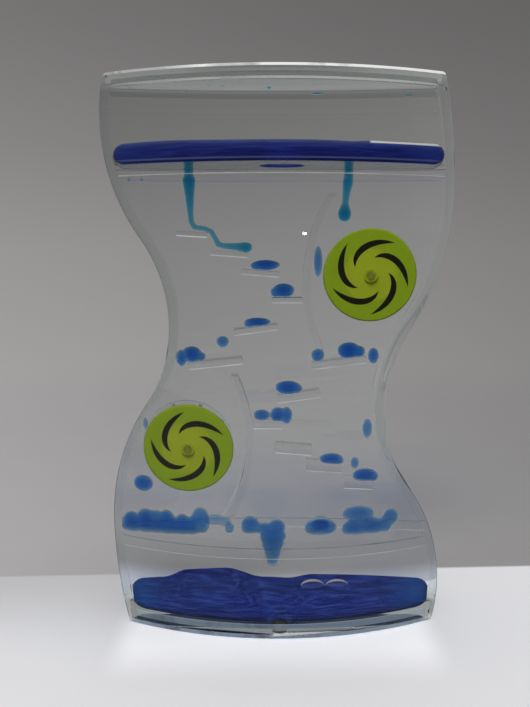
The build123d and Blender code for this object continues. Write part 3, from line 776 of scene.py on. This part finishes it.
# Wheels: a printed lime disc on a clear paddle rotor, turning on a wire pin between the panels.
# The disc lets a little light through, so the drum and the hub behind it show in its colour.
LIME = (0.40, 0.57, 0.021)
LIME_DRUM = (0.55, 0.655, 0.031)
LIME_HUB = (0.35, 0.39, 0.010)
DISC_CLEARNESS = 0.33
INK = (0.012, 0.010, 0.006)
DRUM_RADIUS, HUB_RADIUS = 6.6, 1.3
PIN_SHADOW = 0.75  # share of the light that passes the thin pin
PETALS = 5
PETAL_START, PETAL_END = 4.2, 9.9
PETAL_TWIST = 0.05  # turns of a petal's middle line for each millimetre outwards
PETAL_WIDTH = 0.25
PETAL_SOFTNESS, DRUM_SOFTNESS, HUB_SOFTNESS = 0.03, 0.5, 0.4
PRINT_TURNS = {"upper_wheel": 0.3, "lower_wheel": 0.75}
MOTTLE_SCALE, MOTTLE_LIGHT, MOTTLE_HUE = 0.35, (0.85, 0.3), (0.49, 0.02)
FINE_SCALE, FINE_SHARE = 3.0, 0.3
PRINT_RELIEF, PRINT_THICKNESS = 0.15, 0.05
DISC_DULLNESS, DISC_SHINE = (0.35, 0.15), 0.05
ROTOR_FACE = (0.982, (0.96, 0.975, 0.96))
WIRE_LINES = (9000.0, 400.0, 9000.0)
WIRE_STOPS = [(0.3, (0.20, 0.22, 0.02)), (0.7, (0.28, 0.30, 0.04))]  # steel, seen in the disc's lime light
WIRE_METAL, WIRE_DULLNESS = 0.2, (0.45, 0.2)


def printed_finish(name, x, z, turn):
    """Lime plastic printed with a whirl of tapering petals about a wheel's middle."""
    finish, start = new_finish(name)
    local = start.node("VectorMath", {"operation": "SUBTRACT"}, {0: on_piece(start), 1: spot(x, 0, z)})
    local = scaled(start, local, 1 / MM)
    across = parts(local)
    up = across.beside("Z")
    radius = start.maths("SQRT", across * across + up * up)
    around = start.maths("ARCTAN2", up, across) / (2 * pi)
    sweep = start.maths("FRACT", around * PETALS + radius * PETAL_TWIST * PETALS + turn)
    width = start.maths("SINE", ramp(start, radius, PETAL_START, PETAL_END) * pi) * PETAL_WIDTH
    ink = smooth_step(start, width - start.maths("ABSOLUTE", sweep - 0.5), 0.0, PETAL_SOFTNESS)
    mottle = noise(start, local, MOTTLE_SCALE, 4.0)
    drum = smooth_step(start, radius, DRUM_RADIUS + DRUM_SOFTNESS, DRUM_RADIUS - DRUM_SOFTNESS)
    hub = smooth_step(start, radius, HUB_RADIUS + HUB_SOFTNESS, HUB_RADIUS - HUB_SOFTNESS)
    plastic = blended(start, drum, (*LIME, 1), (*LIME_DRUM, 1))
    plastic = blended(start, hub, plastic, (*LIME_HUB, 1))
    plastic = start.node("HueSaturation", inputs={"Color": plastic, "Value": spread(mottle, *MOTTLE_LIGHT),
                                                  "Hue": spread(mottle, *MOTTLE_HUE)})
    fine = noise(start, local, FINE_SCALE)
    bump = start.node("Bump", inputs={"Height": fine * FINE_SHARE + ink, "Strength": PRINT_RELIEF,
                                      "Distance": PRINT_THICKNESS * MM})
    body = start.node("BsdfPrincipled", inputs={
        "Base Color": blended(start, ink, plastic, (*INK, 1)), "Roughness": spread(fine, *DISC_DULLNESS),
        "Specular IOR Level": DISC_SHINE, "Normal": bump})
    glow = start.node("BsdfTranslucent", inputs={"Color": (*LIME, 1)})
    start.node("OutputMaterial", inputs={"Surface": mixed(start, DISC_CLEARNESS * (1.0 - ink), body, glow)})
    return finish


rotor_finish = clear_finish("rotor_in_oil", *ROTOR_FACE)
pin_finish, start = new_finish("drawn_wire")
lines = noise(start, start.node("Mapping", inputs={"Vector": on_piece(start), "Scale": WIRE_LINES}), detail=2.0)
wire = start.node("BsdfPrincipled", inputs={
    "Base Color": start.node("ValToRGB", {"stops": WIRE_STOPS}, {0: lines}),
    "Metallic": WIRE_METAL, "Roughness": spread(lines, *WIRE_DULLNESS)})
passing = PIN_SHADOW * start.node("LightPath", output="Is Shadow Ray")
start.node("OutputMaterial", inputs={"Surface": mixed(start, passing, wire, start.node("BsdfTransparent"))})
for wheel, (x, z) in WHEELS.items():
    print_finish = printed_finish(wheel + "_print", x, z, PRINT_TURNS[wheel])
    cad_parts[wheel + "_face"].material_slots[0].material = print_finish
    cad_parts[wheel + "_rotor"].material_slots[0].material = rotor_finish
    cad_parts[wheel + "_pin"].material_slots[0].material = pin_finish


# Stopper: a plug of dull olive rubber, a little tapered, pressed into the floor cap's filling
# hole from below after the case has been filled.
RUBBER_STOPS = [(0.3, (0.075, 0.075, 0.045)), (0.75, (0.16, 0.16, 0.095))]
RUBBER_DULLNESS, RUBBER_SHINE = (0.55, 0.3), 0.3
RUBBER_RELIEF, RUBBER_GRAIN = 0.4, 0.1
RUBBER_SCALE = 1800.0
stopper_finish, start = new_finish("olive_rubber")
specks = noise(start, on_piece(start), RUBBER_SCALE, 5.0, 0.7)
rubber = start.node("ValToRGB", {"stops": RUBBER_STOPS}, {0: specks})
start.node("OutputMaterial", inputs={"Surface": start.node("BsdfPrincipled", inputs={
    "Base Color": rubber, "Roughness": spread(specks, *RUBBER_DULLNESS), "Specular IOR Level": RUBBER_SHINE,
    "Normal": start.node("Bump", inputs={
        "Height": specks, "Strength": RUBBER_RELIEF, "Distance": RUBBER_GRAIN * MM})})})
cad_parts["fill_plug"].material_slots[0].material = stopper_finish


# Dyed water: heavier than the oil and never mixing with it. It lies as a sheet on the upper deck
# and as a pool on the floor cap, with rounded edges where it draws back from the walls.
WATER_BEND = 0.955  # water bends light less than oil
WATER_TINT, WATER_SHADOW = (0.97, 0.985, 1.0), (0.55, 0.70, 0.95)
DYE_LIMIT = 0.97  # most of a colour that the dye takes out in one length
LIQUID_GAP, SHEET_FILM = 0.2, 0.05
CAP_INNER = 66.7
LAYER_DEPTH = 5.0
LAYER_WAVES = [(0.25, -17.0, 0.4), (0.1, 6.1, 0.0)]  # heights, lengths and starts of low waves
LAYER_RISE, RISE_START, RISE_END = 0.4, 17.0, 22.0
CLOUD_SCALE, CLOUD_STOPS, CLOUD_SPREAD = (30.0, 60.0, 520.0), (0.36, 0.5, 0.64), (0.8, 0.4)
CLOUD_END, HALF_WIDTH, END_SHARE = 26.0, 40.0, 0.8  # painted light: the veil is paler towards the ends
# Painted reflection: a pale blue line near the foot of the sheet's front. Painted highlight: a white glint along its
# upper edge at the right.
FOOT_LINE, FOOT_SHARE, FOOT_TONE = DECK_OUTER + 0.8, 0.4, (0.28, 0.34, 0.62)
GLINT_SHARE = 0.85
GLINT_HEIGHTS, GLINT_PLACES = (DECK_OUTER + 4.2, DECK_OUTER + 4.4), (20.8, 21.6)  # where the glint sets in
GLINT_RADII = (FACE_RADIUS - WALL - 1.3, FACE_RADIUS - WALL - 0.9)
POOL_LINE = [  # place across and depth of the pool there
    (-45.0, 4.2), (-29.0, 4.4), (-22.5, 6.4), (-13.0, 6.6), (-3.0, 3.7), (3.0, 3.4), (9.5, 4.6), (20.0, 4.7),
    (45.0, 4.5),
]
SHEET_COLUMNS, SHEET_ROWS = 160, 56
FUNNEL_X, FUNNEL_LOW_RADIUS, FUNNEL_HIGH_RADIUS, FUNNEL_TOP = 1.0, 6.25, 3.5, 54.5
FUNNEL_SIDES = 96
BOSS_CUT, BOSS_FILM = 12.0, 0.5


def dye_cloud(start, share, tones, end_tone):
    """The share of the surface that a cloud of dye veils, in streaks, and the shader of the cloud."""
    place = on_piece(start)
    streaks = start.node("Mapping", inputs={"Vector": place, "Scale": CLOUD_SCALE})
    swirl = noise(start, streaks, detail=4.0, roughness=0.6)
    tone = start.node("ValToRGB", {"stops": list(zip(CLOUD_STOPS, tones))}, {0: swirl})
    # Painted light: the veil turns to a paler tone towards the ends.
    ends = smooth_step(start, start.maths("ABSOLUTE", parts(place)), CLOUD_END * MM, HALF_WIDTH * MM, END_SHARE)
    veil = start.node("BsdfPrincipled", inputs={
        "Base Color": blended(start, ends, tone, (*end_tone, 1)), "Roughness": 1.0, "Specular IOR Level": 0.0})
    return share * spread(swirl, *CLOUD_SPREAD), veil


def painted_reflection_and_glint(start, water):
    """The water with a painted reflection, a pale line near the foot of its front, and a painted highlight along its
    upper edge at the right.
    """
    place = parts(on_piece(start))
    height = place.beside("Z") - HALF_HEIGHT * MM
    foot = FOOT_SHARE * fine_line(start, height, FOOT_LINE * MM, LINE_WIDTH * MM)
    water = mixed(start, foot, water, start.node("BsdfDiffuse", inputs={"Color": (*FOOT_TONE, 1)}))
    depth = (FACE_RADIUS - HALF_DEPTH) * MM - place.beside("Y")
    radius = start.maths("SQRT", place * place + depth * depth)
    edge = GLINT_SHARE
    for value, (low, high) in ((height, GLINT_HEIGHTS), (place, GLINT_PLACES), (radius, GLINT_RADII)):
        edge = edge * smooth_step(start, value, low * MM, high * MM)
    return mixed(start, edge, water, pale_cement_and_painted_light(start))


def water_finish(name, loss, bend=WATER_BEND, cloud=None, with_painted_light=False):
    """Dyed water that loses red, green and blue light at rates for each millimetre; dye may veil its surface."""
    finish, start = new_finish(name)
    water = start.node("BsdfGlass", inputs={"Color": (*WATER_TINT, 1), "Roughness": 0.0, "IOR": bend})
    if cloud:
        share, veil = dye_cloud(start, *cloud)
        water = mixed(start, share, water, veil)
    # A painted reflection and a painted highlight on the sheet.
    if with_painted_light:
        water = painted_reflection_and_glint(start, water)
    density = max(loss) / DYE_LIMIT
    dye = start.node("VolumeAbsorption", inputs={
        "Color": (*(1 - rate / density for rate in loss), 1), "Density": density / MM})
    start.node("OutputMaterial", inputs={"Surface": let_lamps_through(start, water, WATER_SHADOW), "Volume": dye})
    return finish


def liquid_sheet(name, low, high, end_round, face_round):
    """A body of water between two heights, with round edges; high(x) gives its surface."""
    inset = WALL + LIQUID_GAP
    middle = (low + high(0)) / 2
    left, right = side_x(middle, inset), -side_x(-middle, inset)

    def level(column, row, side):
        x = (left + right) / 2 + (right - left) / 2 * sin(pi / 2 * (2 * column / SHEET_COLUMNS - 1))
        reach = sqrt((FACE_RADIUS - inset) ** 2 - x**2) - (FACE_RADIUS - HALF_DEPTH)
        y = reach * sin(pi / 2 * (2 * row / SHEET_ROWS - 1))
        from_end = max(0, 1 - min(x - left, right - x) / end_round)
        from_face = max(0, 1 - (reach - abs(y)) / face_round)
        swell = sqrt(max(0, 1 - from_end**2 - from_face**2))
        target = high(x) if side > 0 else low
        return spot(x, y, middle + (target - middle) * swell)

    sides = [lay_grid(name, SHEET_COLUMNS, SHEET_ROWS, lambda c, r, s=side: level(c, r, s)) for side in (1, -1)]
    return weld(join(name, sides))


def layer_surface(x):
    """Top of the sheet on the upper deck: nearly level, with low waves and a rise at the right."""
    rise = LAYER_RISE * min(1.0, max(0.0, (x - RISE_START) / (RISE_END - RISE_START)))
    waves = sum(height * sin(x / length + phase) for height, length, phase in LAYER_WAVES)
    return DECK_OUTER + LAYER_DEPTH - LAYER_WAVES[0][0] + waves + rise


def pool_surface(x):
    """Top of the pool: a mound left of the middle and a dip beside it."""
    for (left, low), (right, high) in zip(POOL_LINE, POOL_LINE[1:]):
        if left <= x <= right:
            depth = low + (high - low) * (1 - cos(pi * (x - left) / (right - left))) / 2
    return depth - CAP_INNER


LAYER_CLOUD = (0.45, [(0.010, 0.014, 0.13), (0.018, 0.027, 0.20), (0.032, 0.055, 0.29)], (0.020, 0.040, 0.23))
POOL_CLOUD = (0.52, [(0.006, 0.016, 0.14), (0.015, 0.040, 0.28), (0.048, 0.110, 0.50)], (0.016, 0.12, 0.42))
SHEETS = [  # piece, node, foot, surface, round of ends and faces, loss and bend of light, dye
    ("colour_layer", "top_colour_layer", DECK_OUTER + SHEET_FILM, layer_surface, 2.9, 1.1,
     (0.20, 0.15, 0.040), 0.97, LAYER_CLOUD),
    ("colour_pool", "bottom_colour_pool", SHEET_FILM - CAP_INNER, pool_surface, 3.4, 2.4,
     (0.29, 0.175, 0.028), 0.975, POOL_CLOUD),
]
for name, node, low, high, end_round, face_round, loss, bend, cloud in SHEETS:
    sheet = liquid_sheet(name, low, high, end_round, face_round)
    if node == "top_colour_layer":
        cut_round(sheet, "DIFFERENCE", FUNNEL_SIDES, spot(FUNNEL_X, 0, (FUNNEL_TOP + DECK_INNER) / 2),
                  FUNNEL_TOP - DECK_INNER, FUNNEL_LOW_RADIUS, FUNNEL_HIGH_RADIUS)
    else:
        cut_round(sheet, "DIFFERENCE", BORE_SIDES,
                  spot(PLUG_X, PLUG_Y, BOSS_RISE + BOSS_FILM - BOSS_CUT / 2 - CAP_INNER),
                  BOSS_CUT, BOSS_RADIUS + LIQUID_GAP, BOSS_RADIUS + LIQUID_GAP)
    sheet.data.materials.append(water_finish(name + "_water", loss, bend, cloud, node == "top_colour_layer"))
    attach(sheet, "case")
    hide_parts(node)


# Drops and puddles: water that rests on ledges and on the lower deck or sinks through the oil.
# Each is a few rounded lumps that have run together, flat where it lies on a ledge.
VOXEL = 0.00018
SOFTNESS, SOFT_ROUNDS = 0.5, 8
LUMP_SEGMENTS, LUMP_RINGS = 40, 24
LEDGE_FILM = 0.08  # oil between a drop and its ledge
DROP_LOSS = (0.74, 0.35, 0.055)
PUDDLE_LOSS = (0.45, 0.20, 0.033)


def lump(x, z, width, height, depth, y=0.0):
    """A rounded lump, sizes as half axes."""
    bpy.ops.mesh.primitive_uv_sphere_add(segments=LUMP_SEGMENTS, ring_count=LUMP_RINGS, radius=1.0,
                                         location=spot(x, y, z), scale=(width * MM, depth * MM, height * MM))
    bpy.ops.object.transform_apply(location=True, rotation=True, scale=True)
    return bpy.context.active_object


def trim(piece, x, z, slope=0.0):
    """Cuts a piece off flat just above a ledge whose top runs through a point at a slope, degrees."""
    bpy.ops.object.select_all(action="DESELECT")
    piece.select_set(True)
    bpy.context.view_layer.objects.active = piece
    bpy.ops.object.mode_set(mode="EDIT")
    bpy.ops.mesh.select_all(action="SELECT")
    bpy.ops.mesh.bisect(plane_co=spot(x, 0, z + LEDGE_FILM), plane_no=(-sin(radians(slope)), 0, cos(radians(slope))),
                        use_fill=True, clear_inner=True)
    bpy.ops.object.mode_set(mode="OBJECT")
    return piece


def melt(name, lumps, node, loss):
    """Lumps run together into smooth water."""
    piece = join(name, lumps)
    blend = piece.modifiers.new("melt", "REMESH")
    blend.mode = "VOXEL"
    blend.voxel_size = VOXEL
    soft = piece.modifiers.new("soften", "SMOOTH")
    soft.factor = SOFTNESS
    soft.iterations = SOFT_ROUNDS
    for modifier in ("melt", "soften"):
        bpy.ops.object.modifier_apply(modifier=modifier)
    bpy.ops.object.shade_smooth()
    piece.data.materials.append(water_finish(name + "_water", loss))
    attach(piece, "case")
    if node:
        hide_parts(node)
    return piece


# Ledges that carry drops: a point of the top face and its slope in degrees.
REST = {
    "step_3": (-4.0, 23.5, -5.0), "step_4": (2.0, 16.8, 0.0), "chute_1": (-5.3, 9.35, 8.1),
    "chute_2": (-15.2, 0.6, 6.8), "low_chute_2": (15.2, 0.8, 6.8), "low_chute_1": (5.3, -7.95, 8.1),
    "low_step_4": (-2.0, -15.4, 0.0), "low_step_2": (11.5, -26.85, -4.4), "low_step_1": (20.4, -31.65, -3.8),
}
# Lumps that rest on them: ledge, place across, height above mid-height, half width, half height, half depth
LEDGE_LUMPS = [
    ("step_3", -2.9, 24.8, 3.5, 1.5, 2.6), ("step_3", -4.6, 24.6, 2.0, 1.2, 2.0),
    ("step_4", 1.4, 18.4, 2.7, 2.0, 2.6), ("step_4", -0.2, 17.9, 1.6, 1.5, 1.9),
    ("chute_1", -4.8, 10.4, 3.2, 1.35, 2.6), ("chute_1", -6.4, 9.9, 1.8, 1.1, 1.8),
    ("chute_2", -20.9, 2.0, 2.4, 2.2, 2.6), ("chute_2", -18.9, 1.4, 1.5, 1.3, 1.8),
    ("low_chute_2", 9.8, 1.8, 1.7, 1.7, 1.8),
    ("low_chute_2", 17.4, 3.0, 2.9, 2.3, 2.8), ("low_chute_2", 19.6, 2.7, 1.9, 1.7, 2.2),
    ("low_chute_1", 2.6, -6.6, 3.2, 1.9, 2.6), ("low_chute_1", 4.6, -6.9, 1.6, 1.3, 1.8),
    ("low_step_4", -3.8, -13.9, 2.1, 1.5, 2.0), ("low_step_4", 0.2, -13.9, 2.0, 2.1, 2.3),
    ("low_step_2", 13.4, -25.7, 3.0, 1.5, 2.4), ("low_step_2", 15.0, -26.2, 1.7, 1.2, 1.8),
    ("low_step_1", 22.0, -30.3, 3.2, 1.8, 2.6), ("low_step_1", 23.9, -30.8, 1.7, 1.4, 1.9),
]
# Lumps that hang over the end of a ledge: place across, height, half width, half height, half depth
OVERHANGS = [
    (-23.5, 1.0, 1.4, 2.2, 2.0), (23.5, 1.6, 1.45, 2.1, 2.0), (2.3, -14.0, 1.5, 2.3, 1.9),
]
resting = [trim(lump(x, z, width, height, depth), *REST[ledge]) for ledge, x, z, width, height, depth in LEDGE_LUMPS]
resting += [lump(*row) for row in OVERHANGS]
melt("ledge_drops", resting, "resting_drops", DROP_LOSS)

# Lumps that sink: place across, height, half width, half height, half depth
SINKING = [
    (-13.3, 5.3, 1.6, 1.55, 1.6), (22.4, -17.6, 1.3, 2.6, 1.3), (19.4, -26.9, 1.15, 1.6, 1.2),
    (-34.2, -33.0, 2.7, 2.2, 2.3), (-33.1, -16.6, 0.65, 1.6, 0.9), (9.6, 25.6, 1.1, 4.0, 1.4),
]
melt("sinking_drops", [lump(*row) for row in SINKING], "falling_drops", DROP_LOSS)

# Lumps on the lower deck: place across, height above the deck, half width, half height, half depth, place in depth
DECK_LUMPS = [
    (-37.6, 1.7, 2.9, 3.2, 4.2, 0.0), (-33.8, 1.9, 3.1, 3.9, 4.5, 0.2), (-30.9, 1.4, 2.6, 2.9, 4.3, 0.0),
    (-28.2, 1.9, 2.6, 4.0, 4.3, -0.3), (-25.9, 1.2, 2.4, 2.4, 4.2, 0.0), (-24.1, 1.6, 2.4, 3.2, 4.2, -0.2),
    (-31.5, 3.4, 4.6, 2.0, 3.0, 0.6), (-21.8, 1.4, 2.4, 2.8, 4.0, 0.0), (-19.4, 3.0, 2.6, 3.8, 2.8, 0.0),
    (-15.6, 2.6, 2.6, 1.5, 1.1, 3.4), (-13.2, 2.2, 1.9, 1.3, 1.0, 3.2), (-12.0, 1.2, 1.3, 1.5, 1.7, 0.0),
    (-6.7, 2.0, 2.5, 2.6, 3.0, 0.0), (-3.2, 0.9, 2.6, 1.9, 2.8, 0.0), (-0.1, 1.4, 2.4, 2.3, 3.0, 0.0),
    (11.0, 1.7, 4.2, 2.4, 3.4, -0.8), (11.0, 1.7, 2.4, 2.2, 2.2, 2.8),
    (19.6, 1.4, 3.4, 2.3, 3.2, -1.0), (23.8, 1.7, 3.9, 2.6, 3.2, -0.8), (20.6, 4.6, 4.2, 2.2, 2.6, 2.0),
    (29.0, 3.8, 2.2, 2.4, 2.4, 0.4), (27.4, 1.8, 2.2, 2.4, 2.4, 0.0),
]
SLUG_LUMPS = [  # height below the deck's top, half width, half height
    (-1.0, 3.5, 2.4), (-3.0, 3.0, 2.4), (-5.0, 2.3, 2.4), (-6.6, 1.8, 2.0), (-8.0, 1.45, 1.4),
]
puddles = [trim(lump(x, z - DECK_INNER, width, height, depth, y), 0.0, -DECK_INNER)
           for x, z, width, height, depth, y in DECK_LUMPS]
puddles += [lump(-FUNNEL_X, z - DECK_INNER, width, height, width) for z, width, height in SLUG_LUMPS]
melt("deck_puddles_water", puddles, "deck_puddles", PUDDLE_LOSS)


# Specks: fine drops of dyed water that cling below the top cap, on the front wall and below the
# upper deck, left there when the timer was last turned over.
SPECK_LOSS = (1.9, 0.42, 0.16)
SPECKS = [  # place across, in depth and in height, half width, half depth, half height
    (-2.1, -5.5, 66.3, 0.55, 0.55, 0.35), (9.1, 3.7, 66.4, 1.7, 0.9, 0.25), (-16.0, -8.7, 66.35, 0.4, 0.4, 0.25),
    (-12.6, -7.6, 66.35, 0.45, 0.4, 0.25), (-21.1, -0.5, 66.35, 0.4, 0.4, 0.25), (-34.5, -8.0, 66.35, 0.4, 0.4, 0.25),
    (17.6, -2.4, 66.35, 0.45, 0.4, 0.25), (25.3, 4.7, 66.35, 0.5, 0.4, 0.25), (30.5, 5.0, 66.4, 1.3, 0.7, 0.22),
    (-35.6, -3.0, 45.5, 0.5, 0.4, 0.5), (-32.4, -3.0, 45.5, 0.5, 0.4, 0.5),
]
melt("specks", [lump(x, z, width, height, depth, y) for x, y, z, width, depth, height in SPECKS], None, SPECK_LOSS)


# Bubbles: two domes of air that float side by side on the skin of the pool, so that only their
# upper rims catch the light.
BUBBLES = [  # place across, height above the floor, half width, half height, half depth, place in depth
    (9.2, 4.5, 3.1, 1.8, 2.6, 2.5), (15.4, 4.5, 3.0, 1.7, 2.6, 2.5),
]
POOL_SKIN = 4.75
AIR_HAZE, AIR_BEND, AIR_TINT = 0.01, 0.93, (1.0, 1.0, 1.0)
bubbles = join("bubbles", [trim(lump(x, z - CAP_INNER, width, height, depth, y), x, POOL_SKIN - CAP_INNER)
                           for x, z, width, height, depth, y in BUBBLES])
bpy.ops.object.shade_smooth_by_angle(angle=SMOOTH_ANGLE)
bubbles.data.materials.append(clear_finish("air_in_oil", AIR_BEND, AIR_TINT, AIR_HAZE))
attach(bubbles, "case")


# Streams: water running out of the drip holes of the upper deck. One trickles down the first two
# steps, the other hangs in a thread with a bulb above the wheel.
STREAM_FLATNESS = 0.6
STREAM_STEP = 0.5  # between one lump and the next
STREAM_LOSS = (2.2, 0.62, 0.22)
STREAMS = {  # points in the front view and half widths, millimetres
    "stair_trickle": ("stair_stream", [
        (-20.9, 48.7, 1.2), (-20.9, 46.3, 1.2), (-20.9, 45.4, 1.6), (-20.8, 42.0, 1.2), (-20.7, 38.0, 0.85),
        (-20.5, 35.4, 0.75), (-19.8, 34.1, 0.72), (-17.2, 33.75, 0.7), (-15.7, 33.0, 0.7), (-14.8, 31.3, 0.72),
        (-14.1, 29.9, 0.78), (-12.7, 29.5, 0.8), (-9.6, 29.3, 1.0), (-7.7, 29.2, 1.35), (-6.9, 29.1, 1.3)]),
    "wheel_thread": ("wheel_stream", [
        (16.515, 48.7, 1.15), (16.515, 46.3, 1.15), (16.4, 45.0, 1.3), (16.1, 42.5, 1.0), (15.9, 40.0, 0.85),
        (15.8, 38.8, 1.2), (15.75, 37.4, 1.65), (15.75, 36.6, 1.5)]),
}
for name, (node, points) in STREAMS.items():
    lumps = []
    for above, below in zip(points, points[1:]):
        length = sqrt((below[0] - above[0]) ** 2 + (below[1] - above[1]) ** 2)
        steps = max(2, round(length / STREAM_STEP))
        for share in (step / steps for step in range(steps)):
            x, z, radius = (one + (other - one) * share for one, other in zip(above, below))
            lumps.append(lump(x, z, radius, radius, radius * STREAM_FLATNESS))
    melt(name, lumps, node, STREAM_LOSS)
